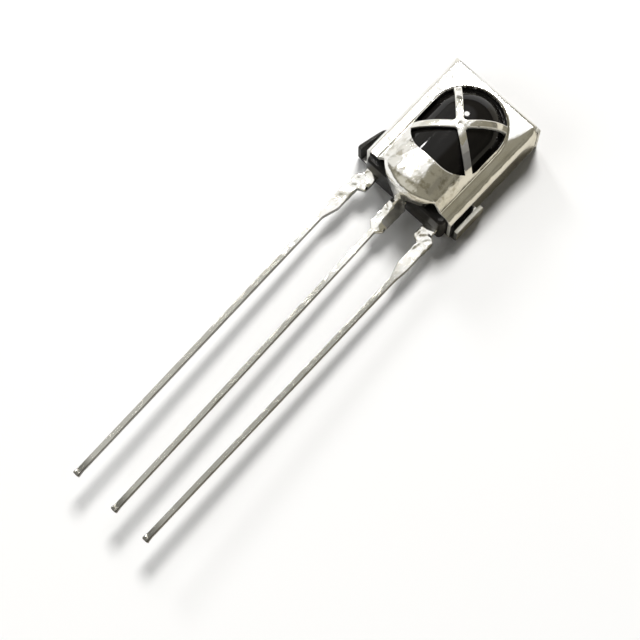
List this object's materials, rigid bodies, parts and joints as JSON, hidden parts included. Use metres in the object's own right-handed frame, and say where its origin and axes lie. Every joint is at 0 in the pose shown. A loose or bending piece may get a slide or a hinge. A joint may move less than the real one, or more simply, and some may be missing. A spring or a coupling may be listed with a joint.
{
  "type": "infrared receiver module",
  "caption": "Infrared receiver module: a black moulding with a domed lens in a folded metal shield with a cross-barred window, on long straight leads.",
  "frame": {"origin": "middle of the shield's back plate, on its outer face, on which the module lies", "axes": "+X across the width, +Y from the lead tips towards the closed end of the shield, +Z out of the lens side"},
  "size_m": [0.0069, 0.0293, 0.0047],
  "materials": {
    "shield_tin": "bright tin plate on thin steel sheet",
    "black_epoxy": "glossy black moulding that passes infrared",
    "lead_tin": "tin-plated lead frame",
    "chip_silicon": "polished silicon",
    "chip_glue": "silver-filled adhesive",
    "wire_gold": "fine gold bond wire"
  },
  "bodies": {
    "root": {"metal_shield": "shield_tin", "epoxy_body": "black_epoxy", "lead_output": "lead_tin", "lead_ground": "lead_tin", "lead_supply": "lead_tin", "photodiode_chip": "chip_silicon", "receiver_chip": "chip_silicon", "photodiode_glue": "chip_glue", "receiver_glue": "chip_glue", "wire_diode": "wire_gold", "wire_output": "wire_gold", "wire_supply": "wire_gold", "wire_ground": "wire_gold"}
  },
  "joints": []
}
